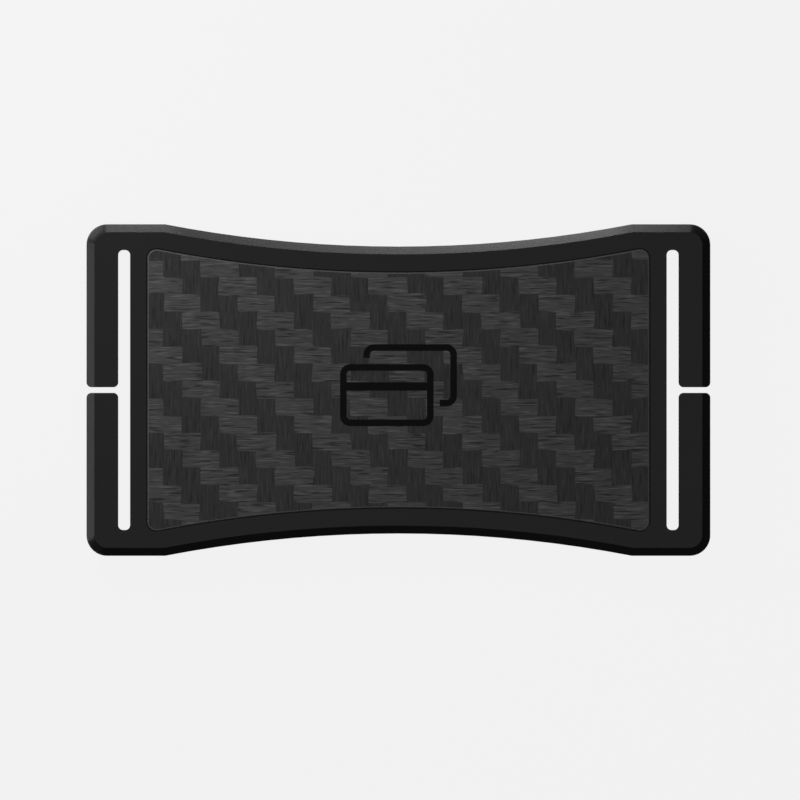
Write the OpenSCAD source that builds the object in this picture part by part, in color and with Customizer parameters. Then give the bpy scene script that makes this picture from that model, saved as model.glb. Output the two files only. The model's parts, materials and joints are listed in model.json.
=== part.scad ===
// Minimalist card wallet: two waisted aluminium plates with carbon-fibre inlays, drawn together by one
// closed elastic band. The band's front run is hidden in the front plate behind a screwed-on liner. Its
// two webs drop past the ends of the cards and leave through the rear plate's slots, and its rear run
// crosses the back of the wallet as a cash strap.
// The wallet lies on its back, front face up: X along the cards, Y up the face, Z out of the front.
// The origin is the middle of the rest face, under the cash strap.

/* [Cards] */
// Length of the cards, which sets the width of the pocket between the band's webs
card_l = 85.6; // [80:0.1:110]
// Height of the two ends of the plates, a card's height
end_h = 54; // [48:0.1:68]

/* [Plate outline] */
// Thickness of each plate
plate_t = 2.4; // [2.2:0.1:4]
// Length of the straight shoulder between the waist and each end
shoulder_l = 12.8; // [8:0.1:16]
// How far each long edge dips in at the middle
waist_depth = 3.625; // [1:0.125:6]
// Radius of the four outer corners
corner_r = 3.35; // [1.5:0.05:4]
// Width of the bevel round the outer edge
bevel = 1.3; // [0.3:0.1:1.4]

/* [Slots] */
// Width of the bar outside each slot
outer_bar_w = 5.17; // [4:0.01:8]
// Width of the bar between each slot and the inlay
inner_bar_w = 2.66; // [2:0.01:5]
// Width of each slot
slot_w = 1.93; // [1.2:0.01:3]
// Metal left above and below each slot
slot_margin = 4.2; // [3.6:0.1:8]
// Width of the slit that splits each outer bar, through which the band is threaded
slit_w = 0.92; // [0.85:0.01:2]
// Radius of the slots' corners and of the bars' ends at the slit
slot_r = 0.8; // [0.3:0.05:0.9]

/* [Inlays] */
// Metal between each long edge and the inlay
rim_w = 4.08; // [3.6:0.01:6]
// Thickness of the carbon-fibre inlays
inlay_t = 0.6; // [0.3:0.05:0.9]
// How far each inlay stands proud of its plate
inlay_proud = 0.1; // [0:0.02:0.2]
// Thickness of the adhesive film under each inlay
adhesive_t = 0.1; // [0.05:0.01:0.2]
// Gap round each inlay
inlay_gap = 0.16; // [0.05:0.01:0.4]
// Corner radius of the inlays
inlay_r = 1.5; // [0.5:0.1:4]

/* [Emblem] */
// Width of the printed pictogram of two cards
emblem_w = 19; // [10:0.5:30]
// Width of the pictogram's lines
emblem_line = 1.04; // [0.5:0.02:1.6]
// Height of the pictogram's middle above the middle of the plate
emblem_rise = 0.8; // [-4:0.1:4]
// Thickness of the print
emblem_t = 0.06; // [0.04:0.01:0.1]

/* [Band] */
// Width of the elastic band
band_w = 30; // [16:0.5:36]
// Thickness of the elastic band
band_t = 0.8; // [0.5:0.05:1]
// Number of zigzag stitches that close the band
stitches = 14; // [6:2:24]
// Thickness of the sewing thread
thread_t = 0.08; // [0.04:0.01:0.09]

/* [Liner] */
// Thickness of the liner behind the front plate
liner_t = 0.8; // [0.7:0.05:1.2]
// Distance from the plate's long edges to the liner
liner_margin = 0.8; // [0.4:0.1:1]
// Radius of the liner's corners
liner_r = 1.5; // [0.5:0.1:3]
// Distance of the outer screws from the middle
screw_span = 34; // [26:0.5:36]
// Radius of the screws' threads
screw_r = 0.8; // [0.6:0.05:0.9]
// Radius of the screws' countersunk heads
head_r = 1.4; // [1.1:0.05:1.6]
// How deep the screws reach into the plate
screw_reach = 1.5; // [1:0.1:1.7]

/* [Hidden] */
$fn = 96;
// Segments of the two great circles that shape the waist
WAIST_FN = 720;
// Overlap of cutting tools past the faces they cut
PAST = 1;

// Pictogram: shares of its width, of a card's height, and of its line
CARD_SIDES = [0.8, 0.53];   // a card's sides, to the pictogram's width
CARD_STEP = [0.2, 0.17];    // offset of the rear card, to the pictogram's width
CARD_ROUND = 1.6;           // a card's corner radius, to the line
STRIPE_RISE = 0.14;         // height of the stripe above a card's middle, to the card's height
STRIPE_LINE = 1.3;          // width of the stripe, to the line

// Screws and band: shares that keep their proportions
SOCKET_WIDTH = 0.42;        // a socket's radius, to its head's
SOCKET_DEPTH = 0.75;        // a socket's depth, to its head's height
HOLE_SPARE = 0.2;           // depth of a screw hole past its screw
BAND_ROUND = 0.7;           // radius of the band's turns, to its thickness
STITCH_SIZE = [3.2, 0.4];   // length and width of one stitch
SEAM_MARGIN = 1;            // from the band's edges to the first and last stitch

// Clearances
card_play = 0.05;       // between the cards' ends and the webs
web_play = 0.05;        // between a web and the front slot's inner wall
pass_play = 0.1;        // between a web and the rear plate's widened slot
pass_end_play = 0.5;    // between the band's edges and the ends of that widening
channel_play = 0.1;     // above the front run in its channel, room for the thread of its seam
channel_side_play = 0.4;// between the front run's edges and its channel
contact_gap = 0.05;     // between faces of the wallet's moving halves that rest on each other
run_end_gap = 0.05;     // between the rear run and the webs
liner_end_gap = 0.25;   // between the liner and the webs
thread_play = 0.02;     // between a screw's thread and its hole

// Stations along X, from the middle outwards
web_in = card_l / 2 + card_play;
web_out = web_in + band_t;
slot_in = web_out + web_play;
slot_out = slot_in + slot_w;
half_w = slot_out + outer_bar_w;
recess_half = slot_in - inner_bar_w;
liner_half = web_in - liner_end_gap;
pass_in = web_in - pass_play;

// Waist: an arc through both shoulders and the dip between them
half_h = end_h / 2;
waist_half = half_w - shoulder_l;
waist_r = (waist_half * waist_half + waist_depth * waist_depth) / (2 * waist_depth);
waist_y = half_h - waist_depth + waist_r;
slot_l = end_h - 2 * slot_margin;

// Levels along Z, from the rest face upwards
recess_depth = adhesive_t + inlay_t - inlay_proud;
rear_face = band_t + contact_gap + inlay_proud;
rear_inner = rear_face + plate_t;
liner_face = rear_inner + contact_gap;
front_back = liner_face + liner_t;
front_face = front_back + plate_t;
channel_depth = band_t + channel_play;
web_top = front_back + band_t;

// Screws: on an arc half-way along the rim, three above the band and three below
screw_arc_r = waist_r + rim_w / 2;
head_h = head_r - screw_r;
hole_depth = screw_reach + HOLE_SPARE;
socket_r = head_r * SOCKET_WIDTH;
socket_depth = head_h * SOCKET_DEPTH;

// Height of the screw arc at a distance x from the middle
function screw_y(x) = waist_y - sqrt(screw_arc_r * screw_arc_r - x * x);

// ---- Shared shapes ----

// Rectangle with round corners, about the middle
module round_rect(w, h, r) {
    square([w - 2 * r, h], center = true);
    square([w, h - 2 * r], center = true);
    for (x = [-1, 1], y = [-1, 1])
        translate([x * (w / 2 - r), y * (h / 2 - r)]) circle(r);
}

// Block with round corners whose upper edge is bevelled all round
module bevelled_block(w, h, t, r, c) {
    linear_extrude(t - c) round_rect(w, h, r);
    translate([0, 0, t - c]) {
        for (x = [-1, 1], y = [-1, 1])
            translate([x * (w / 2 - r), y * (h / 2 - r), 0]) cylinder(r1 = r, r2 = r - c, h = c);
        sloped_bar(w - 2 * r, h, c);
        rotate([0, 0, 90]) sloped_bar(h - 2 * r, w, c);
    }
}

// Bar along X, as wide as w at its foot and one bevel narrower on each side at its top
module sloped_bar(l, w, c) {
    rotate([90, 0, 90])
        linear_extrude(l, center = true)
            polygon([[-w / 2, 0], [w / 2, 0], [w / 2 - c, c], [c - w / 2, c]]);
}

// The two great cylinders that cut the waist, grown outwards from the plate's edge by inset
module waist_circles(inset) {
    for (side = [-1, 1])
        translate([0, side * waist_y]) circle(waist_r + inset, $fn = WAIST_FN);
}

// What is cut from a square corner at the origin to round it to radius r, the corner pointing to -X -Y
module corner_nip(r) {
    difference() {
        square(2 * r, center = true);
        translate([r, r]) circle(r);
        translate([r, -PAST - r]) square(2 * r + 2 * PAST);
        translate([-PAST - r, r]) square(2 * r + 2 * PAST);
    }
}

// Outline of an inlay or of its recess: sides at half, long edges concentric with the waist, and each
// corner rounded by a circle that touches both
module inlay_outline(half, inset, r) {
    edge_r = waist_r + inset;
    corner_x = half - r;
    corner_y = waist_y - sqrt(pow(edge_r + r, 2) - corner_x * corner_x);
    to_edge = [-corner_x, waist_y - corner_y] / (edge_r + r);
    reach = 4 * r;
    difference() {
        square([2 * half, end_h], center = true);
        waist_circles(inset);
        for (x = [0, 1], y = [0, 1])
            mirror([x, 0]) mirror([0, y])
                translate([corner_x, corner_y])
                    difference() {
                        polygon([[0, 0], [reach, 0], [reach, reach], to_edge * reach]);
                        circle(r);
                    }
    }
}

// One slot with the slit that opens it to the plate's end, on the +X side
module slot_outline() {
    translate([(slot_in + slot_out) / 2, 0]) round_rect(slot_w, slot_l, slot_r);
    translate([slot_out - slot_r, -slit_w / 2]) square([outer_bar_w + slot_r + PAST, slit_w]);
    for (y = [0, 1])
        mirror([0, y]) {
            translate([slot_out, slit_w / 2]) corner_nip(slot_r);
            translate([half_w, slit_w / 2]) mirror([1, 0]) corner_nip(slot_r);
        }
}

// Plate blank: bevelled outline, waist, slots, slits and the inlay's recess in its outer face, which is up
module plate_blank() {
    difference() {
        bevelled_block(2 * half_w, end_h, plate_t, corner_r, bevel);
        translate([0, 0, -PAST])
            linear_extrude(plate_t + 2 * PAST)
                waist_circles(0);
        for (side = [-1, 1])
            translate([0, side * waist_y, plate_t - bevel])
                cylinder(r1 = waist_r, r2 = waist_r + bevel + PAST, h = bevel + PAST, $fn = WAIST_FN);
        for (side = [0, 1])
            mirror([side, 0, 0])
                translate([0, 0, -PAST])
                    linear_extrude(plate_t + 2 * PAST)
                        slot_outline();
        translate([0, 0, plate_t - recess_depth])
            linear_extrude(recess_depth + PAST)
                inlay_outline(recess_half, rim_w, inlay_r + inlay_gap);
    }
}

module adhesive_film() {
    linear_extrude(adhesive_t)
        inlay_outline(recess_half - inlay_gap, rim_w + inlay_gap, inlay_r);
}

module inlay_sheet() {
    linear_extrude(inlay_t)
        inlay_outline(recess_half - inlay_gap, rim_w + inlay_gap, inlay_r);
}

// A screw hole's or a screw's place: column -1 to 1 from left to right, row -1 below or 1 above
module at_screw(column, row) {
    x = column * screw_span;
    translate([x, row * screw_y(x), liner_face]) children();
}

// ---- Rear half ----

module rear_plate() {
    color("#1c1c1d")
        difference() {
            translate([0, 0, rear_inner]) mirror([0, 0, 1]) plate_blank();
            for (side = [0, 1])
                mirror([side, 0, 0])
                    translate([pass_in, -band_w / 2 - pass_end_play, rear_face - PAST])
                        cube([slot_in - pass_in + slot_w / 2, band_w + 2 * pass_end_play, plate_t + 2 * PAST]);
        }
}

module rear_inlay_adhesive() {
    color("#c9c4b4")
        translate([0, 0, rear_face + recess_depth - adhesive_t]) adhesive_film();
}

module rear_inlay() {
    color("#333335")
        translate([0, 0, rear_face - inlay_proud]) inlay_sheet();
}

// ---- Front half ----

module front_plate() {
    channel_w = band_w + 2 * channel_side_play;
    color("#1c1c1d")
        difference() {
            translate([0, 0, front_back]) plate_blank();
            translate([-slot_in - slot_w / 2, -channel_w / 2, front_back - PAST])
                cube([2 * slot_in + slot_w, channel_w, channel_depth + PAST]);
            for (column = [-1, 0, 1], row = [-1, 1])
                at_screw(column, row)
                    cylinder(r = screw_r, h = liner_t + hole_depth);
        }
}

module front_inlay_adhesive() {
    color("#c9c4b4")
        translate([0, 0, front_face - recess_depth]) adhesive_film();
}

module front_inlay() {
    color("#333335")
        translate([0, 0, front_face - recess_depth + adhesive_t]) inlay_sheet();
}

// Pictogram of two cards, one behind the other
module front_emblem() {
    card = emblem_w * CARD_SIDES;
    step = emblem_w * CARD_STEP;
    r = emblem_line * CARD_ROUND;
    color("#0a0a0a")
        translate([0, emblem_rise, front_face + inlay_proud])
            linear_extrude(emblem_t) {
                translate(-step / 2) {
                    card_outline(card, r);
                    translate([0, card[1] * STRIPE_RISE])
                        square([card[0] - emblem_line, emblem_line * STRIPE_LINE], center = true);
                }
                difference() {
                    translate(step / 2) card_outline(card, r);
                    translate(-step / 2)
                        round_rect(card[0] + 2 * emblem_line, card[1] + 2 * emblem_line, r + emblem_line);
                }
            }
}

module card_outline(size, r) {
    difference() {
        round_rect(size[0], size[1], r);
        round_rect(size[0] - 2 * emblem_line, size[1] - 2 * emblem_line, r - emblem_line);
    }
}

module front_liner() {
    color("#55565a")
        difference() {
            translate([0, 0, liner_face])
                linear_extrude(liner_t)
                    difference() {
                        round_rect(2 * liner_half, end_h - 2 * liner_margin, liner_r);
                        waist_circles(liner_margin);
                    }
            for (column = [-1, 0, 1], row = [-1, 1])
                at_screw(column, row) screw_seat();
        }
}

// Countersunk clearance hole through the liner
module screw_seat() {
    cylinder(r = screw_r + thread_play, h = liner_t + PAST);
    cylinder(r1 = head_r + thread_play, r2 = screw_r + thread_play, h = head_h);
    translate([0, 0, -PAST]) cylinder(r = head_r + thread_play, h = PAST);
}

// Countersunk screw with a hexagon socket, its head level with the liner's card face
module liner_screw(column, row) {
    color("#8a8b8e")
        at_screw(column, row)
            difference() {
                union() {
                    cylinder(r1 = head_r, r2 = screw_r - thread_play, h = head_h);
                    cylinder(r = screw_r - thread_play, h = liner_t + screw_reach);
                }
                translate([0, 0, -PAST]) cylinder(r = socket_r, h = PAST + socket_depth, $fn = 6);
            }
}

// ---- Elastic band ----

module band_front_run() {
    color("#242426")
        translate([-web_in, -band_w / 2, front_back]) cube([2 * web_in, band_w, band_t]);
}

// Zigzag of thread across the butted ends of the band, on the side that faces the plate
module band_seam_stitch() {
    pitch = (band_w - 2 * SEAM_MARGIN) / stitches;
    lean = atan(pitch / STITCH_SIZE[0]);
    color("#3c3c40")
        for (i = [0 : stitches - 1])
            translate([0, (i - (stitches - 1) / 2) * pitch, web_top + thread_t / 2])
                rotate([0, 0, i % 2 == 0 ? lean : -lean])
                    cube([STITCH_SIZE[0], STITCH_SIZE[1], thread_t], center = true);
}

// One web on the +X side, from the rest face up to the front run's level, its two outer corners rounded
module band_web() {
    color("#242426")
        translate([web_in, band_w / 2, 0])
            rotate([90, 0, 0])
                linear_extrude(band_w)
                    difference() {
                        square([band_t, web_top]);
                        translate([band_t, 0]) mirror([1, 0]) corner_nip(band_t * BAND_ROUND);
                        translate([band_t, web_top]) mirror([1, 0]) mirror([0, 1]) corner_nip(band_t * BAND_ROUND);
                    }
}

module band_left_web() {
    mirror([1, 0, 0]) band_web();
}

module band_right_web() {
    band_web();
}

// Cash strap across the back, inside the webs
module band_rear_run() {
    half = web_in - run_end_gap;
    color("#242426")
        translate([-half, -band_w / 2, 0]) cube([2 * half, band_w, band_t]);
}

rear_plate();
rear_inlay_adhesive();
rear_inlay();
front_plate();
front_inlay_adhesive();
front_inlay();
front_emblem();
front_liner();
liner_screw(-1, 1);  // liner_screw_top_left
liner_screw(0, 1);  // liner_screw_top_middle
liner_screw(1, 1);  // liner_screw_top_right
liner_screw(-1, -1);  // liner_screw_bottom_left
liner_screw(0, -1);  // liner_screw_bottom_middle
liner_screw(1, -1);  // liner_screw_bottom_right
band_front_run();
band_seam_stitch();
band_left_web();
band_right_web();
band_rear_run();
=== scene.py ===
"""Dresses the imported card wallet: metal parts, carbon laminate, elastic band, finishes, stage and light."""

import json
import math

import bmesh
import bpy
from bpy.props import FloatProperty, FloatVectorProperty, IntProperty, PointerProperty
from bpy.types import NodeSocket, Operator, Panel, PropertyGroup
from mathutils import Matrix, Vector

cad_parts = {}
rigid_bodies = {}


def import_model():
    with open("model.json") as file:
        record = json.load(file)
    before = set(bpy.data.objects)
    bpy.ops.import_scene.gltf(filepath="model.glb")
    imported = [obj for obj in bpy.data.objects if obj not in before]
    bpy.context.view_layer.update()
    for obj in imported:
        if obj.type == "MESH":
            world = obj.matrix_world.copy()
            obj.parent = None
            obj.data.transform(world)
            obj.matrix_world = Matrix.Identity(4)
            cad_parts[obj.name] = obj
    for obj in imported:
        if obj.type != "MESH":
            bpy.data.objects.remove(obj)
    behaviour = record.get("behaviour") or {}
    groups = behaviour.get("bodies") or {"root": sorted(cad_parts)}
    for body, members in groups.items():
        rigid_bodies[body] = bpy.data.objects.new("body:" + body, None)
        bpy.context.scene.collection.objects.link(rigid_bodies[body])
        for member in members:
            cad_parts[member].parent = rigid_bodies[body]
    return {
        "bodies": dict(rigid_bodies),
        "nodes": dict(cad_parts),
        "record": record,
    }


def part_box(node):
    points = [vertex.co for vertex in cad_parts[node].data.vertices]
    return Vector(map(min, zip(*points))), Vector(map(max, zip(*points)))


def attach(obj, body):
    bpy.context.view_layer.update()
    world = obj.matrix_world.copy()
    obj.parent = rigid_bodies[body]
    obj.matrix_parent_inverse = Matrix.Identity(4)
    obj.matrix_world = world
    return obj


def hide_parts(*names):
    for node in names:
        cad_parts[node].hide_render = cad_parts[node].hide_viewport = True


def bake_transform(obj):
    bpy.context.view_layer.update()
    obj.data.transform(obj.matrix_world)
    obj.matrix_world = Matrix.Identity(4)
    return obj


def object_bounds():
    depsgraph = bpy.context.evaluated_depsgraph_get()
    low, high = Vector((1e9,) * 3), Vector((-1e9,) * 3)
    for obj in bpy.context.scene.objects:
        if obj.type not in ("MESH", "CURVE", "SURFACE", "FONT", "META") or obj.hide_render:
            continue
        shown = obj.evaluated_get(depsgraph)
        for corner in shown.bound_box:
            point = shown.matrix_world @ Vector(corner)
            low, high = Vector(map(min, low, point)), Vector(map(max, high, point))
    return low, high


bl_info = {
    "name": "Card Wallet",
    "version": (1, 0, 0),
    "blender": (4, 5, 0),
    "location": "View3D > Sidebar > Wallet",
    "description": "Builds the looks of a two-plate card wallet round its packed frame",
    "category": "Object",
}

MM = 0.001
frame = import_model()
CAD_LOW, CAD_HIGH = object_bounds()
MIDDLE = (CAD_LOW + CAD_HIGH) / 2
COLUMNS = ("left", "middle", "right")
SCREWS = [f"liner_screw_{row}_{column}" for row in ("top", "bottom") for column in COLUMNS]

# The band's middle line runs along the back, turns up the webs and turns again behind the front plate
RUN_LOW, RUN_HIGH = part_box("band_rear_run")
WEB_LOW, WEB_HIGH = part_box("band_right_web")
PLATE_LOW, PLATE_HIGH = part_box("rear_plate")
BAND_WIDTH = RUN_HIGH.y - RUN_LOW.y
BAND_THICKNESS = RUN_HIGH.z - RUN_LOW.z
REAR_RUN_Z = BAND_THICKNESS / 2
FRONT_RUN_Z = WEB_HIGH.z - BAND_THICKNESS / 2
WEB_X = (WEB_LOW.x + WEB_HIGH.x) / 2
# The band's pieces meet inside the rear plate's slots, out of sight
HANDOVER_Z = (PLATE_LOW.z + PLATE_HIGH.z) / 2
# Steps along the band: enough for the strap to slope and for the webs to stretch smoothly
STRAP_STEPS = 44
STRAP_END_STEPS = 3
FRONT_RUN_STEPS = 12
WEB_STEPS = 14
TURN_STEPS = 8
# Points along the band's ribbed faces to each rib, and along a quarter of its round edges
RIB_STEPS = 4
EDGE_STEPS = 3
PLAIN_EDGE = 1.2            # width of the band's edges without a groove, to a rib's
STITCH_PITCH = 0.55 * MM

# Merging the corners of the CAD shapes, and breaking and shading their edges
MERGE = 2e-7
FLAT_ANGLE = math.radians(0.3)
SHARP_ANGLE = math.radians(25)
SCREW_BREAK = 0.04 * MM
LINER_BREAK = 0.6           # the liner's edge break, to the plates'
HARD_SMOOTH = math.radians(60)
BAND_SMOOTH = math.radians(50)

# How far the twill is shifted from the middle of the face
TWILL_OFFSET = (29.17 * MM, -18.37 * MM, 0.0)
# Radians to the metre round a screw's turned rings
RING_PITCH = 60000.0

# The table, the room, and the camera's width of view and place from the middle of the wallet's back
TABLE_HALF = 3.0
TABLE_GLOW = 0.872
TABLE_GLOW_AROUND = 0.18    # share of the glow that reaches anything but the eye
ROOM_SEEN = 0.88
ROOM_AROUND = 0.08
VIEW_WIDTH = 130.3 * MM
VIEW_SHIFT = Vector((0.26 * MM, -1.62 * MM, 0.6))
# Each panel's name, azimuth from +X and elevation in degrees, distance, width and height in metres, and watts
PANELS = (
    ("overhead_panel", 90, 90, 0.9, (0.9, 0.9), 1.88),
    ("fill_panel", 136, 38, 0.17, (0.08, 0.08), 0.14),
    # At rest these lie below the table, which casts no shadow: they reach the bevels and walls, not the faces
    ("back_rim_panel", 95, -8, 0.4, (0.056, 0.1), 0.32),
    ("back_right_rim_panel", 83, -8, 0.2, (0.045, 0.046), 0.05),
    ("corner_rim_panel", 135, -8, 0.45, (0.44, 0.11), 0.98),
    ("left_rim_panel", 183, -8, 0.45, (0.2, 0.11), 0.35),
    ("right_wall_panel", 45, -24, 0.45, (0.3, 0.14), 0.14),
    ("left_wall_panel", -135, -24, 0.45, (0.3, 0.14), 0.14),
)


# ---- What a user may change ----

class WalletSizes(PropertyGroup):
    edge_break: FloatProperty(
        name="Edge break", description="Width of the broken edges of the plates and the liner",
        default=0.09 * MM, min=0.0, max=0.2 * MM, precision=5, unit="LENGTH")
    inlay_break: FloatProperty(
        name="Inlay edge", description="Width of the small bevel round the carbon inlays",
        default=0.2 * MM, min=0.0, max=0.4 * MM, precision=5, unit="LENGTH")
    tow_width: FloatProperty(
        name="Tow width", description="Width of one column of the carbon twill",
        default=3.05 * MM, min=1 * MM, max=6 * MM, precision=5, unit="LENGTH")
    tow_height: FloatProperty(
        name="Tow height", description="Height of one row of the carbon twill",
        default=2.82 * MM, min=1 * MM, max=6 * MM, precision=5, unit="LENGTH")
    band_ribs: IntProperty(
        name="Band ribs", description="Number of lengthwise ribs in the elastic band",
        default=22, min=4, max=60)
    rib_depth: FloatProperty(
        name="Rib depth", description="Depth of the grooves between the ribs of the elastic band",
        default=0.07 * MM, min=0.0, max=0.2 * MM, precision=5, unit="LENGTH")
    band_bend: FloatProperty(
        name="Band bend", description="Radius of the band's middle where it turns into a slot",
        default=0.7 * MM, min=0.5 * MM, max=1.5 * MM, precision=5, unit="LENGTH")
    strap_shoulder: FloatProperty(
        name="Strap shoulder", description="Length of the strap's slope beside each slot when it holds cash",
        default=9 * MM, min=2 * MM, max=20 * MM, precision=4, unit="LENGTH")


def colour(label, description, default):
    return FloatVectorProperty(name=label, description=description, default=default, size=3,
                               min=0.0, max=1.0, subtype="COLOR")


class WalletColours(PropertyGroup):
    anodised: colour("Anodised plate", "Black anodising of both plates", (0.0052, 0.0052, 0.0053))
    worn: colour("Worn edge", "Anodising rubbed thin along the edges", (0.03, 0.03, 0.0305))
    # The weft is painted paler than the warp: a painted sheen for the way light catches tows that run across
    # rather than up
    weft: colour("Weft", "Tows that run across the inlay", (0.059, 0.059, 0.059))
    warp: colour("Warp", "Tows that run up the inlay", (0.029, 0.029, 0.029))
    resin: colour("Resin", "Dark resin between the tows", (0.018, 0.018, 0.018))
    # The cut edge's pale colour is partly pale fibre ends and partly a painted highlight along the inlays'
    # edges
    cut_edge_and_highlight: colour("Cut edge", "Fibre ends round the inlays", (0.1, 0.1, 0.1))
    ink: colour("Ink", "Print of the pictogram", (0.0017, 0.0017, 0.0017))
    liner: colour("Liner", "Brushed sheet behind the front plate", (0.10, 0.10, 0.106))
    steel: colour("Steel", "Liner screws", (0.48, 0.48, 0.49))
    elastic: colour("Elastic", "Ribs of the elastic band", (0.021, 0.021, 0.022))
    # The groove colour is painted shade: the grooves between the ribs are darkened below the yarn's own
    # colour
    groove: colour("Groove", "Grooves between the ribs", (0.006, 0.006, 0.0065))
    thread: colour("Thread", "Thread of the band's seam", (0.05, 0.05, 0.054))
    film: colour("Film", "Adhesive film under the inlays", (0.5, 0.46, 0.39))
    table: colour("Table", "Table's own surface under its pale glow", (0.03, 0.03, 0.03))


def sizes():
    return bpy.context.scene.wallet_sizes


def colours():
    return bpy.context.scene.wallet_colours


# ---- Node helpers ----

def add(tree, kind, inputs=None, **settings):
    """A new node with its settings made and its inputs joined or filled."""
    made = tree.nodes.new(kind)
    for name, value in settings.items():
        setattr(made, name, value)
    for key, value in (inputs or {}).items():
        if isinstance(value, NodeSocket):
            tree.links.new(value, made.inputs[key])
        else:
            made.inputs[key].default_value = value
    return made


def calc(tree, operation, *values, clamp=False):
    """One Math node's result."""
    inputs = dict(enumerate(values))
    return add(tree, "ShaderNodeMath", inputs, operation=operation, use_clamp=clamp).outputs[0]


def blend_colour(tree, factor, first, second):
    """A colour between first, where factor is 0, and second, where it is 1."""
    mix = add(tree, "ShaderNodeMix", data_type="RGBA")
    pairs = ((mix.inputs["Factor"], factor), (mix.inputs[6], first), (mix.inputs[7], second))
    for socket, value in pairs:
        if isinstance(value, NodeSocket):
            tree.links.new(value, socket)
        else:
            socket.default_value = (*value, 1.0) if socket.type == "RGBA" else value
    return mix.outputs[2]


def remap(tree, value, low, high, to_low=0.0, to_high=1.0, smooth=False):
    """value moved from the range low to high into to_low to to_high, and kept inside it."""
    inputs = {"Value": value, "From Min": low, "From Max": high, "To Min": to_low, "To Max": to_high}
    kind = "SMOOTHSTEP" if smooth else "LINEAR"
    return add(tree, "ShaderNodeMapRange", inputs, interpolation_type=kind, clamp=True).outputs["Result"]


def stretched_noise(tree, vector, stretch, detail=2.0, roughness=0.5):
    """Noise over a vector scaled by stretch, in cycles to the metre along each axis."""
    scaled = add(tree, "ShaderNodeVectorMath", {0: vector, 1: stretch}, operation="MULTIPLY").outputs[0]
    inputs = {"Vector": scaled, "Scale": 1.0, "Detail": detail, "Roughness": roughness}
    return add(tree, "ShaderNodeTexNoise", inputs, noise_dimensions="3D").outputs[0]


def new_group(name, inputs, outputs):
    """An empty shader node group with its sockets: (tree, input node's outputs, output node's inputs)."""
    tree = bpy.data.node_groups.new(name, "ShaderNodeTree")
    for label, kind, default in inputs:
        socket = tree.interface.new_socket(label, in_out="INPUT", socket_type=kind)
        if default is not None:
            socket.default_value = default
    for label, kind in outputs:
        tree.interface.new_socket(label, in_out="OUTPUT", socket_type=kind)
    return tree, tree.nodes.new("NodeGroupInput").outputs, tree.nodes.new("NodeGroupOutput").inputs


def use_group(tree, name, build, inputs):
    """The outputs of a shared group placed in a material. The group is built the first time it is used."""
    group = bpy.data.node_groups.get(name) or build(name)
    return add(tree, "ShaderNodeGroup", inputs, node_tree=group).outputs


def edge_band(tree):
    """1 on the faces that break a piece's edges, and 0 on the others."""
    made = add(tree, "ShaderNodeAttribute", attribute_name="edge_band", attribute_type="GEOMETRY")
    return made.outputs["Fac"]


FLOAT, VECTOR = "NodeSocketFloat", "NodeSocketVector"


def build_satin(name):
    """Fine blasted grain with slow drifts of sheen, for anodised metal and ink."""
    tree, given, out = new_group(
        name,
        [("Vector", VECTOR, None), ("Grain", FLOAT, 9000.0)],
        [("Sheen", FLOAT), ("Height", FLOAT)])
    coords = given["Vector"]
    grain = add(tree, "ShaderNodeTexNoise",
                {"Vector": coords, "Scale": given["Grain"], "Detail": 3.0, "Roughness": 0.6}).outputs[0]
    drift = stretched_noise(tree, coords, (45.0, 60.0, 45.0), detail=4.0, roughness=0.55)
    drift = remap(tree, drift, 0.3, 0.7, -1.0, 1.0)
    speck = remap(tree, grain, 0.35, 0.65, -1.0, 1.0)
    sheen = calc(tree, "ADD", calc(tree, "MULTIPLY", drift, 0.6), calc(tree, "MULTIPLY", speck, 0.4))
    tree.links.new(sheen, out["Sheen"])
    tree.links.new(grain, out["Height"])
    return tree


def build_wear(name):
    """Where an edge is rubbed: the piece's edge_band attribute broken up by noise."""
    tree, given, out = new_group(
        name,
        [("Vector", VECTOR, None), ("Amount", FLOAT, 0.6)],
        [("Worn", FLOAT)])
    patches = stretched_noise(tree, given["Vector"], (260.0, 260.0, 260.0), detail=5.0, roughness=0.65)
    patches = remap(tree, patches, 0.36, 0.68, smooth=True)
    rubbed = calc(tree, "MULTIPLY", edge_band(tree), patches)
    worn = calc(tree, "MULTIPLY", rubbed, given["Amount"], clamp=True)
    tree.links.new(worn, out["Worn"])
    return tree


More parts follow.
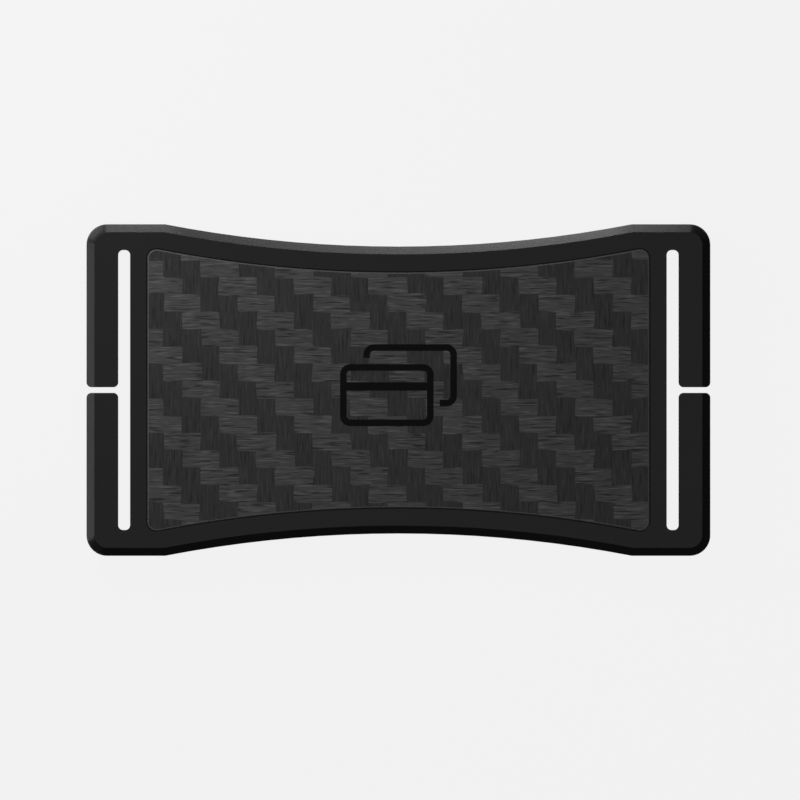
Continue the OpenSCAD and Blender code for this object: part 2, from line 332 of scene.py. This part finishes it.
def build_twill(name):
    """Two-by-two carbon twill. Across is 1 where the tows that run across lie on top, Height is the cloth's
    relief, Streak is the grain of the fibres along whichever tow is on top, Seam is the line between tows,
    and Tone differs from tow to tow."""
    tree, given, out = new_group(
        name,
        [("Vector", VECTOR, None), ("Tow Width", FLOAT, 0.003), ("Tow Height", FLOAT, 0.003)],
        [("Across", FLOAT), ("Height", FLOAT), ("Streak", FLOAT), ("Seam", FLOAT), ("Tone", FLOAT)])
    place = add(tree, "ShaderNodeSeparateXYZ", {0: given["Vector"]}).outputs
    # A slow wander keeps the tows from being ruled lines
    wander = stretched_noise(tree, given["Vector"], (150.0, 150.0, 1.0), detail=1.0)
    wander = remap(tree, wander, 0.3, 0.7, -0.07, 0.07)
    column = calc(tree, "ADD", calc(tree, "DIVIDE", place["X"], given["Tow Width"]), wander)
    down = calc(tree, "MULTIPLY", place["Y"], -1.0)
    row = calc(tree, "SUBTRACT", calc(tree, "DIVIDE", down, given["Tow Height"]), wander)
    column_number = calc(tree, "FLOOR", column)
    row_number = calc(tree, "FLOOR", row)

    def lift(steps):
        """Height of a tow along its own length, up for two crossings and down for two."""
        wave = calc(tree, "SINE", calc(tree, "MULTIPLY", steps, math.pi / 2))
        steep = calc(tree, "MULTIPLY", wave, 1.9)
        return calc(tree, "MINIMUM", calc(tree, "MAXIMUM", steep, -1.0), 1.0)

    def crown(position):
        """Height of a tow across its own width: round-topped, lowest at its edges."""
        offset = calc(tree, "SUBTRACT", calc(tree, "FRACT", position), 0.5)
        return calc(tree, "MULTIPLY_ADD", calc(tree, "MULTIPLY", offset, offset), -4.0, 1.0)

    def fibres(turned):
        """Grain along a tow, about 0.5: bright and dark strands a few millimetres long over fine lines."""
        def strands(length, width, detail):
            stretch = (width, length, 1.0) if turned else (length, width, 1.0)
            return stretched_noise(tree, given["Vector"], stretch, detail=detail, roughness=0.65)

        bright = remap(tree, strands(260.0, 3400.0, 1.0), 0.54, 0.66, 0.0, 0.6)
        dark = remap(tree, strands(230.0, 3000.0, 1.0), 0.35, 0.46, 0.48, 0.0)
        fine = remap(tree, strands(600.0, 7000.0, 2.0), 0.3, 0.7, 0.4, 0.6)
        return calc(tree, "ADD", fine, calc(tree, "SUBTRACT", bright, dark), clamp=True)

    weft_fibre, warp_fibre = fibres(False), fibres(True)
    weft_lift = lift(calc(tree, "SUBTRACT", column, row_number))
    warp_steps = calc(tree, "ADD", calc(tree, "SUBTRACT", column_number, row), 1.0)
    warp_lift = calc(tree, "MULTIPLY", lift(warp_steps), -1.0)
    weft = calc(tree, "MULTIPLY_ADD", crown(row), 0.5, weft_lift)
    warp = calc(tree, "MULTIPLY_ADD", crown(column), 0.5, warp_lift)
    difference = calc(tree, "SUBTRACT", weft, warp)
    # Strands end a little unevenly where one tow dives under another
    ragged = calc(tree, "MULTIPLY_ADD", calc(tree, "SUBTRACT", weft_fibre, 0.5), 0.5, difference)
    across = remap(tree, ragged, -0.12, 0.12, smooth=True)
    height = calc(tree, "MAXIMUM", weft, warp)
    seam = remap(tree, calc(tree, "ABSOLUTE", difference), 0.0, 0.5, 1.0, 0.0)
    streak = add(tree, "ShaderNodeMix", {"Factor": across, 2: warp_fibre, 3: weft_fibre}).outputs[0]

    # The fraction keeps a row's number apart from every column's, so that each tow has its own tone
    row_tow = calc(tree, "ADD", row_number, 0.37)
    tow = add(tree, "ShaderNodeMix", {"Factor": across, 2: column_number, 3: row_tow}).outputs[0]
    tone = add(tree, "ShaderNodeTexWhiteNoise", {"W": tow}, noise_dimensions="1D").outputs["Value"]
    results = {"Across": across, "Height": height, "Streak": streak, "Seam": seam, "Tone": tone}
    for label, value in results.items():
        tree.links.new(value, out[label])
    return tree


def build_brushed(name):
    """Long fine scratches along X."""
    tree, given, out = new_group(name, [("Vector", VECTOR, None)], [("Scratch", FLOAT)])
    coarse = stretched_noise(tree, given["Vector"], (60.0, 2600.0, 2600.0), detail=3.0, roughness=0.7)
    fine = stretched_noise(tree, given["Vector"], (140.0, 9000.0, 9000.0), detail=2.0, roughness=0.6)
    both = calc(tree, "ADD", calc(tree, "MULTIPLY", coarse, 0.6), calc(tree, "MULTIPLY", fine, 0.4))
    tree.links.new(remap(tree, both, 0.35, 0.65), out["Scratch"])
    return tree


def build_knit(name):
    """Knitted elastic read off the band's own map: u runs across the ribs and v along them, in metres."""
    tree, given, out = new_group(
        name,
        [("Rib Pitch", FLOAT, 0.0013), ("Stitch Pitch", FLOAT, 0.0006)],
        [("Rib", FLOAT), ("Stitch", FLOAT), ("Fuzz", FLOAT)])
    uv = add(tree, "ShaderNodeUVMap", uv_map="band_map").outputs[0]
    place = add(tree, "ShaderNodeSeparateXYZ", {0: uv}).outputs

    def off_middle(position):
        """Distance from the middle of the rib or stitch that position is in, from 0 to 0.5."""
        return calc(tree, "ABSOLUTE", calc(tree, "SUBTRACT", calc(tree, "FRACT", position), 0.5))

    across = calc(tree, "DIVIDE", place["X"], given["Rib Pitch"])
    from_rib = off_middle(across)
    # Neighbouring ribs are half a stitch out of step, as in a knit, and each stitch leans to both sides
    odd = calc(tree, "MULTIPLY", calc(tree, "MODULO", calc(tree, "FLOOR", across), 2.0), 0.5)
    step = calc(tree, "ADD", calc(tree, "DIVIDE", place["Y"], given["Stitch Pitch"]), odd)
    step = calc(tree, "MULTIPLY_ADD", from_rib, 0.7, step)
    rib = remap(tree, from_rib, 0.5, 0.18, smooth=True)
    stitch = remap(tree, off_middle(step), 0.5, 0.1, smooth=True)
    fuzz = add(tree, "ShaderNodeTexNoise", {"Vector": uv, "Scale": 7000.0, "Detail": 3.0}).outputs[0]
    for label, value in (("Rib", rib), ("Stitch", stitch), ("Fuzz", fuzz)):
        tree.links.new(value, out[label])
    return tree


# ---- Materials ----

def new_material(name):
    """An empty material with a Principled BSDF: (material, tree, shader, Object coordinates)."""
    material = bpy.data.materials.new(name)
    material.use_nodes = True
    tree = material.node_tree
    tree.nodes.clear()
    shader = tree.nodes.new("ShaderNodeBsdfPrincipled")
    output = tree.nodes.new("ShaderNodeOutputMaterial")
    tree.links.new(shader.outputs[0], output.inputs["Surface"])
    coords = tree.nodes.new("ShaderNodeTexCoord").outputs["Object"]
    return material, tree, shader, coords


def bump(tree, shader, height, distance, strength):
    """Height made into the shader's normal."""
    made = add(tree, "ShaderNodeBump", {"Height": height, "Distance": distance, "Strength": strength})
    tree.links.new(made.outputs[0], shader.inputs["Normal"])


def set_roughness(tree, shader, base, *changes):
    """Roughness of base, moved by each pair's value times its share."""
    rough = base
    for value, share in changes:
        rough = calc(tree, "MULTIPLY_ADD", value, share, rough)
    tree.links.new(rough, shader.inputs["Roughness"])


def shaded(colour_value, share):
    """A colour made darker or lighter by a share."""
    return tuple(share * part for part in colour_value)


def anodised_material():
    """Black anodising over a fine blasted grain, rubbed thin in places along the edges."""
    material, tree, shader, coords = new_material("anodised_plate_finish")
    satin = use_group(tree, "Satin Grain", build_satin, {"Vector": coords, "Grain": 11000.0})
    wear = use_group(tree, "Edge Wear", build_wear, {"Vector": coords, "Amount": 0.55})
    tinted = blend_colour(tree, wear["Worn"], tuple(colours().anodised), tuple(colours().worn))
    tree.links.new(tinted, shader.inputs["Base Color"])
    set_roughness(tree, shader, 0.33, (satin["Sheen"], 0.04), (wear["Worn"], -0.1))
    shader.inputs["Specular IOR Level"].default_value = 0.22
    bump(tree, shader, satin["Height"], 0.01 * MM, 0.25)
    return material


def laid_twill(tree, coords):
    """The outputs of the twill as it lies on the plates."""
    laid = add(tree, "ShaderNodeMapping", {"Vector": coords, "Location": TWILL_OFFSET}).outputs[0]
    inputs = {"Vector": laid, "Tow Width": sizes().tow_width, "Tow Height": sizes().tow_height}
    return use_group(tree, "Twill Weave", build_twill, inputs)


def carbon_material():
    """Matte twill laminate, with a smoother skin of resin at its cut edge. Tows that run across are painted
    paler than tows that run up, a painted sheen, and the cut edge is painted paler, partly for its fibre ends
    and partly as a painted highlight.
    """
    material, tree, shader, coords = new_material("carbon_inlay_finish")
    weave = laid_twill(tree, coords)
    # Painted sheen: tows that run across get the paler weft colour, tows that run up the darker warp colour
    tow = blend_colour(tree, weave["Across"], tuple(colours().warp), tuple(colours().weft))
    # Strands stand out more on the tows that run across
    contrast = calc(tree, "MULTIPLY_ADD", weave["Across"], 0.55, 0.75)
    streak = calc(tree, "MULTIPLY_ADD", calc(tree, "SUBTRACT", weave["Streak"], 0.5), contrast, 0.94)
    tone = calc(tree, "MULTIPLY_ADD", weave["Tone"], 0.12, streak)
    grey = add(tree, "ShaderNodeCombineColor", {0: tone, 1: tone, 2: tone}).outputs[0]
    pair = {"Factor": 1.0, 6: tow, 7: grey}
    toned = add(tree, "ShaderNodeMix", pair, data_type="RGBA", blend_type="MULTIPLY")
    seam = calc(tree, "MULTIPLY", weave["Seam"], 0.55)
    face = blend_colour(tree, seam, toned.outputs[2], tuple(colours().resin))
    # Painted highlight: the edge band takes the pale cut-edge colour, which is partly fibre ends and partly a
    # painted highlight
    edge = edge_band(tree)
    tree.links.new(blend_colour(tree, edge, face, tuple(colours().cut_edge_and_highlight)), shader.inputs["Base Color"])
    set_roughness(tree, shader, 0.56, (weave["Streak"], -0.12), (edge, -0.16))
    shader.inputs["Specular IOR Level"].default_value = 0.18
    relief = calc(tree, "MULTIPLY_ADD", weave["Streak"], 0.12, weave["Height"])
    bump(tree, shader, relief, 0.03 * MM, 0.5)
    return material


def ink_material():
    """Flat print that follows the cloth under it."""
    material, tree, shader, coords = new_material("printed_mark_finish")
    weave = laid_twill(tree, coords)
    satin = use_group(tree, "Satin Grain", build_satin, {"Vector": coords, "Grain": 7000.0})
    thin = calc(tree, "MULTIPLY", weave["Streak"], 0.35)
    base = blend_colour(tree, thin, tuple(colours().ink), shaded(colours().ink, 2.2))
    tree.links.new(base, shader.inputs["Base Color"])
    set_roughness(tree, shader, 0.5, (satin["Sheen"], 0.05))
    shader.inputs["Specular IOR Level"].default_value = 0.07
    bump(tree, shader, weave["Height"], 0.03 * MM, 0.3)
    return material


def liner_material():
    """Sheet brushed along its length, bright where its edges are rubbed."""
    material, tree, shader, coords = new_material("liner_sheet_finish")
    lines = use_group(tree, "Brushed Lines", build_brushed, {"Vector": coords})["Scratch"]
    wear = use_group(tree, "Edge Wear", build_wear, {"Vector": coords, "Amount": 0.8})
    base = blend_colour(tree, lines, shaded(colours().liner, 0.72), tuple(colours().liner))
    rubbed = blend_colour(tree, wear["Worn"], base, tuple(colours().steel))
    tree.links.new(rubbed, shader.inputs["Base Color"])
    set_roughness(tree, shader, 0.42, (lines, -0.14))
    shader.inputs["Metallic"].default_value = 1.0
    shader.inputs["Anisotropic"].default_value = 0.4
    bump(tree, shader, lines, 0.008 * MM, 0.4)
    return material


def steel_material():
    """Turned screw heads: rings about each head's own middle, which its map puts at zero."""
    material, tree, shader, coords = new_material("screw_steel_finish")
    uv = add(tree, "ShaderNodeUVMap", uv_map="head_map").outputs[0]
    radius = add(tree, "ShaderNodeVectorMath", {0: uv}, operation="LENGTH").outputs["Value"]
    wave = calc(tree, "SINE", calc(tree, "MULTIPLY", radius, RING_PITCH))
    rings = calc(tree, "MULTIPLY_ADD", wave, 0.5, 0.5)
    smear = stretched_noise(tree, coords, (900.0, 900.0, 900.0), detail=3.0)
    base = blend_colour(tree, smear, shaded(colours().steel, 0.7), tuple(colours().steel))
    tree.links.new(base, shader.inputs["Base Color"])
    set_roughness(tree, shader, 0.22, (rings, 0.1))
    shader.inputs["Metallic"].default_value = 1.0
    bump(tree, shader, rings, 0.004 * MM, 0.5)
    return material


def elastic_material():
    """Knitted elastic, with painted shade in the grooves between its ribs and between its stitches, and a
    little pale lint.
    """
    material, tree, shader, _ = new_material("elastic_band_finish")
    pitches = {"Rib Pitch": BAND_WIDTH / sizes().band_ribs, "Stitch Pitch": STITCH_PITCH}
    knit = use_group(tree, "Ribbed Knit", build_knit, pitches)
    # Painted shade: the yarn darkens towards the groove colour in the grooves between ribs and, less, between
    # stitches
    yarn = calc(tree, "MULTIPLY", knit["Rib"], calc(tree, "MULTIPLY_ADD", knit["Stitch"], 0.55, 0.45))
    base = blend_colour(tree, yarn, tuple(colours().groove), tuple(colours().elastic))
    lint = remap(tree, knit["Fuzz"], 0.62, 0.75, 0.0, 0.25)
    linty = blend_colour(tree, lint, base, shaded(colours().elastic, 3.0))
    tree.links.new(linty, shader.inputs["Base Color"])
    set_roughness(tree, shader, 0.95, (yarn, -0.2))
    shader.inputs["Specular IOR Level"].default_value = 0.3
    shader.inputs["Sheen Weight"].default_value = 0.12
    shader.inputs["Sheen Roughness"].default_value = 0.4
    bump(tree, shader, calc(tree, "MULTIPLY_ADD", knit["Fuzz"], 0.3, yarn), 0.08 * MM, 0.7)
    return material


def thread_material():
    """Twisted thread: fine slanted lines of painted shade where the plies dip, over a dull yarn."""
    material, tree, shader, coords = new_material("sewing_thread_finish")
    inputs = {"Vector": coords, "Scale": 4000.0, "Distortion": 1.5}
    twist = add(tree, "ShaderNodeTexWave", inputs, bands_direction="DIAGONAL").outputs["Fac"]
    # Painted shade: the colour darkens to half along the low lines of the twist, the same lines that the bump
    # sinks
    base = blend_colour(tree, twist, shaded(colours().thread, 0.5), tuple(colours().thread))
    tree.links.new(base, shader.inputs["Base Color"])
    set_roughness(tree, shader, 0.8, (twist, -0.2))
    bump(tree, shader, twist, 0.02 * MM, 0.5)
    return material


def film_material():
    """Adhesive transfer film: slightly cloudy, with small bubbles."""
    material, tree, shader, coords = new_material("adhesive_film_finish")
    cloud = stretched_noise(tree, coords, (180.0, 180.0, 180.0), detail=4.0)
    bubbles = add(tree, "ShaderNodeTexVoronoi", {"Vector": coords, "Scale": 900.0}).outputs["Distance"]
    base = blend_colour(tree, cloud, shaded(colours().film, 0.8), tuple(colours().film))
    tree.links.new(base, shader.inputs["Base Color"])
    tree.links.new(remap(tree, bubbles, 0.0, 0.5, 0.25, 0.5), shader.inputs["Roughness"])
    return material


def seen_and_around(tree, seen, around):
    """A grey of one brightness for the eye and of another for everything else that the surface lights."""
    eye = tree.nodes.new("ShaderNodeLightPath").outputs["Is Camera Ray"]
    return blend_colour(tree, eye, (around, around, around), (seen, seen, seen))


def table_material():
    """Pale table whose brightness is mostly its own glow, so that it is bright through the slots too. Most of
    the glow is for the eye alone, which keeps it off the dark edges above."""
    material, tree, shader, _ = new_material("pale_table_finish")
    shader.inputs["Base Color"].default_value = (*colours().table, 1.0)
    shader.inputs["Roughness"].default_value = 0.9
    shader.inputs["Specular IOR Level"].default_value = 0.0
    tree.links.new(seen_and_around(tree, 1.0, TABLE_GLOW_AROUND), shader.inputs["Emission Color"])
    shader.inputs["Emission Strength"].default_value = TABLE_GLOW
    return material


MAKERS = {
    "anodised_plate": anodised_material,
    "carbon_inlay": carbon_material,
    "printed_mark": ink_material,
    "liner_sheet": liner_material,
    "screw_steel": steel_material,
    "elastic_band": elastic_material,
    "sewing_thread": thread_material,
    "adhesive_film": film_material,
    "pale_table": table_material,
}


def finish_with(piece, name):
    """Gives the piece one material, made the first time it is asked for."""
    material = bpy.data.materials.get(f"{name}_finish") or MAKERS[name]()
    piece.data.materials.clear()
    piece.data.materials.append(material)


# ---- Mesh helpers ----

def new_piece(name, bm, finish):
    """A mesh object made of bm, with its material."""
    mesh = bpy.data.meshes.new(name)
    bm.to_mesh(mesh)
    bm.free()
    piece = bpy.data.objects.new(name, mesh)
    bpy.context.scene.collection.objects.link(piece)
    finish_with(piece, finish)
    return piece


def shade(piece, angle):
    """Smooth shading between faces that meet at less than angle, true to the larger faces."""
    piece.data.shade_smooth()
    piece.data.set_sharp_from_angle(angle=angle)
    modifier = piece.modifiers.new("Weighted normals", "WEIGHTED_NORMAL")
    modifier.keep_sharp = True


def refined(name, node, width, finish, segments=2):
    """A copy of a CAD node with its sharp edges broken by a small round, which stands for the node."""
    bm = bmesh.new()
    bm.from_mesh(frame["nodes"][node].data)
    bmesh.ops.remove_doubles(bm, verts=bm.verts, dist=MERGE)
    bmesh.ops.dissolve_limit(bm, angle_limit=FLAT_ANGLE, verts=bm.verts, edges=bm.edges,
                             use_dissolve_boundaries=False, delimit=set())
    band = bm.faces.layers.float.new("edge_band")
    sharp = [e for e in bm.edges if e.is_manifold and e.calc_face_angle(0.0) > SHARP_ANGLE]
    if width > 0.0:
        made = bmesh.ops.bevel(bm, geom=sharp, offset=width, offset_type="OFFSET", affect="EDGES",
                               segments=segments, profile=0.5, material=-1, clamp_overlap=True)
        for face in made["faces"]:
            face[band] = 1.0
    piece = new_piece(name, bm, finish)
    shade(piece, HARD_SMOOTH)
    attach(piece, body_with(node))
    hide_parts(node)
    return piece


def body_with(node):
    """The name of the body that holds a CAD node."""
    groups = frame["record"]["behaviour"]["bodies"]
    return next(body for body, nodes in groups.items() if node in nodes)


def band_section(bm, height):
    """The band's cross-section at the middle of the wallet: one face with ribbed sides and round ends."""
    half, thick = BAND_WIDTH / 2, BAND_THICKNESS / 2
    ribs = sizes().band_ribs
    pitch = BAND_WIDTH / ribs
    flat = half - thick
    points = RIB_STEPS * ribs
    across = [flat * (2 * i / points - 1) for i in range(points + 1)]

    def level(y):
        """Half the band's thickness at y, less in the grooves. The band's two edges have no groove."""
        if abs(y) > half - PLAIN_EDGE * pitch:
            return thick
        return thick - sizes().rib_depth * (1 - math.cos(2 * math.pi * (y + half) / pitch)) / 2

    angles = [math.pi / 2 * step / EDGE_STEPS for step in range(EDGE_STEPS - 1, -EDGE_STEPS, -1)]
    end = [(flat + thick * math.cos(angle), thick * math.sin(angle)) for angle in angles]
    outline = [(y, level(y)) for y in across] + end
    outline += [(y, -level(y)) for y in reversed(across)] + [(-y, -z) for y, z in end]
    return bm.faces.new([bm.verts.new((0.0, y, height + z)) for y, z in outline])


def sweep(bm, start, moves):
    """Carries the start face through moves, leaving a closed tube behind it, and maps the tube in metres: u
    across the band, v along it. A move is ("go", vector, steps) or ("turn", centre, angle about +Y, length,
    steps)."""
    along = bm.verts.layers.float.new("along")
    travelled = 0.0
    cap = start
    for kind, where, *rest in moves:
        steps = rest[-1]
        length = where.length if kind == "go" else rest[1]
        for _ in range(steps):
            left = cap
            made = bmesh.ops.extrude_face_region(bm, geom=[left])["geom"]
            verts = [g for g in made if isinstance(g, bmesh.types.BMVert)]
            cap = next(g for g in made if isinstance(g, bmesh.types.BMFace))
            # Only the tube's two ends stay closed
            if left is not start:
                bmesh.ops.delete(bm, geom=[left], context="FACES_ONLY")
            if kind == "go":
                bmesh.ops.translate(bm, verts=verts, vec=where / steps)
            else:
                turned = Matrix.Rotation(rest[0] / steps, 3, "Y")
                bmesh.ops.rotate(bm, verts=verts, cent=where, matrix=turned)
            travelled += length / steps
            for v in verts:
                v[along] = travelled
    bmesh.ops.recalc_face_normals(bm, faces=bm.faces)
    uv = bm.loops.layers.uv.new("band_map")
    for face in bm.faces:
        for loop in face.loops:
            loop[uv].uv = (loop.vert.co.y + BAND_WIDTH / 2, loop.vert[along])


def band_piece(name, side, level, run_steps, rise, web_steps):
    """A stretch of the band. It starts at the middle of the wallet at the height level, runs out to one side,
    turns, and ends at level + rise, so a negative rise turns it down."""
    bend = math.copysign(sizes().band_bend, rise)
    run = WEB_X - sizes().band_bend
    bm = bmesh.new()
    sweep(bm, band_section(bm, level), [
        ("go", Vector((side * run, 0.0, 0.0)), run_steps),
        ("turn", Vector((side * run, 0.0, level + bend)), math.copysign(math.pi / 2, -side * rise),
         abs(bend) * math.pi / 2, TURN_STEPS),
        ("go", Vector((0.0, 0.0, rise - bend)), web_steps)])
    piece = new_piece(name, bm, "elastic_band")
    shade(piece, BAND_SMOOTH)
    return piece


def strap_half(name, side):
    """Half of the cash strap, from the middle of the back to inside the rear plate's slot."""
    piece = band_piece(name, side, REAR_RUN_Z, STRAP_STEPS, HANDOVER_Z - REAR_RUN_Z, STRAP_END_STEPS)
    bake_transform(piece)
    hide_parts("band_rear_run")


def front_half_of_band(name, side, web):
    """One web and its half of the front run, from the seam to inside the rear plate's slot."""
    piece = band_piece(name, side, FRONT_RUN_Z, FRONT_RUN_STEPS, HANDOVER_Z - FRONT_RUN_Z, WEB_STEPS)
    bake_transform(piece)
    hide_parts(web, "band_front_run")


# ---- Operators ----

class WALLET_OT_plates(Operator):
    """Builds both anodised plates with their edges broken"""
    bl_idname = "wallet.plates"
    bl_label = "Plates"

    def execute(self, context):
        for half in ("rear", "front"):
            refined(f"{half}_plate_shell", f"{half}_plate", sizes().edge_break, "anodised_plate")
        return {"FINISHED"}


class WALLET_OT_inlays(Operator):
    """Builds the carbon inlays and finishes the adhesive under them"""
    bl_idname = "wallet.inlays"
    bl_label = "Inlays"

    def execute(self, context):
        for half in ("rear", "front"):
            laminate = f"{half}_inlay_laminate"
            refined(laminate, f"{half}_inlay", sizes().inlay_break, "carbon_inlay", segments=3)
            finish_with(frame["nodes"][f"{half}_inlay_adhesive"], "adhesive_film")
        return {"FINISHED"}


class WALLET_OT_emblem(Operator):
    """Finishes the printed pictogram"""
    bl_idname = "wallet.emblem"
    bl_label = "Emblem"

    def execute(self, context):
        finish_with(frame["nodes"]["front_emblem"], "printed_mark")
        return {"FINISHED"}


class WALLET_OT_liner(Operator):
    """Builds the liner behind the front plate and its screws"""
    bl_idname = "wallet.liner"
    bl_label = "Liner and screws"

    def execute(self, context):
        refined("front_liner_sheet", "front_liner", LINER_BREAK * sizes().edge_break, "liner_sheet")
        for node in SCREWS:
            piece = refined(node.replace("liner_screw", "screw"), node, SCREW_BREAK, "screw_steel")
            low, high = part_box(node)
            uv = piece.data.uv_layers.new(name="head_map")
            for loop in piece.data.loops:
                place = piece.data.vertices[loop.vertex_index].co - (low + high) / 2
                uv.data[loop.index].uv = place.xy
        return {"FINISHED"}


class WALLET_OT_band(Operator):
    """Builds the elastic band and finishes the thread of its seam"""
    bl_idname = "wallet.band"
    bl_label = "Elastic band"

    def execute(self, context):
        for side, hand in ((-1, "left"), (1, "right")):
            strap_half(f"band_{hand}_strap_half", side)
            front_half_of_band(f"band_{hand}_front_half", side, f"band_{hand}_web")
        finish_with(frame["nodes"]["band_seam_stitch"], "sewing_thread")
        return {"FINISHED"}


def soft_light(name, azimuth, elevation, distance, size, power):
    """A soft panel that faces the wallet from its azimuth and elevation, and isn't seen itself."""
    turned, raised = math.radians(azimuth), math.radians(elevation)
    level = math.cos(raised)
    toward = Vector((level * math.cos(turned), level * math.sin(turned), math.sin(raised)))
    lamp = bpy.data.lights.new(name, "AREA")
    lamp.shape = "RECTANGLE"
    lamp.size, lamp.size_y = size
    lamp.energy = power
    light = bpy.data.objects.new(name, lamp)
    light.location = MIDDLE + distance * toward
    light.rotation_euler = (-toward).to_track_quat("-Z", "Y").to_euler()
    light.visible_camera = False
    bpy.context.scene.collection.objects.link(light)


class WALLET_OT_stage(Operator):
    """Sets out the pale table, the soft lights and the camera"""
    bl_idname = "wallet.stage"
    bl_label = "Stage"

    def execute(self, context):
        scene = context.scene
        bm = bmesh.new()
        bmesh.ops.create_grid(bm, x_segments=1, y_segments=1, size=TABLE_HALF)
        table = new_piece("table", bm, "pale_table")
        # The wallet lies on its cash strap, so the table keeps touching the strap as it is lifted
        table.parent = frame["bodies"]["cash_strap"]
        table.visible_shadow = False
        table.visible_glossy = False

        scene.world = bpy.data.worlds.new("studio")
        scene.world.use_nodes = True
        room = scene.world.node_tree
        walls = seen_and_around(room, ROOM_SEEN, ROOM_AROUND)
        room.links.new(walls, room.nodes["Background"].inputs["Color"])

        for panel in PANELS:
            soft_light(*panel)

        camera = bpy.data.cameras.new("face_on")
        camera.type = "ORTHO"
        camera.ortho_scale = VIEW_WIDTH
        camera.clip_end = 5.0
        view = bpy.data.objects.new("face_on", camera)
        view.location = (MIDDLE.x + VIEW_SHIFT.x, MIDDLE.y + VIEW_SHIFT.y, VIEW_SHIFT.z)
        scene.collection.objects.link(view)
        scene.camera = view
        scene.view_settings.view_transform = "Standard"
        return {"FINISHED"}


class VIEW3D_PT_wallet(Panel):
    """Lists the wallet's sizes, colours and build steps"""
    bl_label = "Card Wallet"
    bl_space_type = "VIEW_3D"
    bl_region_type = "UI"
    bl_category = "Wallet"

    def draw(self, context):
        layout = self.layout
        for group in (context.scene.wallet_sizes, context.scene.wallet_colours):
            box = layout.box()
            for name in group.__annotations__:
                box.prop(group, name)
        for step in STEPS:
            layout.operator(step.bl_idname)


STEPS = (
    WALLET_OT_plates, WALLET_OT_inlays, WALLET_OT_emblem, WALLET_OT_liner, WALLET_OT_band, WALLET_OT_stage)
CLASSES = (WalletSizes, WalletColours, *STEPS, VIEW3D_PT_wallet)


def register():
    for item in CLASSES:
        bpy.utils.register_class(item)
    bpy.types.Scene.wallet_sizes = PointerProperty(type=WalletSizes)
    bpy.types.Scene.wallet_colours = PointerProperty(type=WalletColours)


def unregister():
    del bpy.types.Scene.wallet_colours
    del bpy.types.Scene.wallet_sizes
    for item in reversed(CLASSES):
        bpy.utils.unregister_class(item)


def main():
    register()
    for step in STEPS:
        family, name = step.bl_idname.split(".")
        getattr(getattr(bpy.ops, family), name)()


if __name__ == "__main__":
    main()
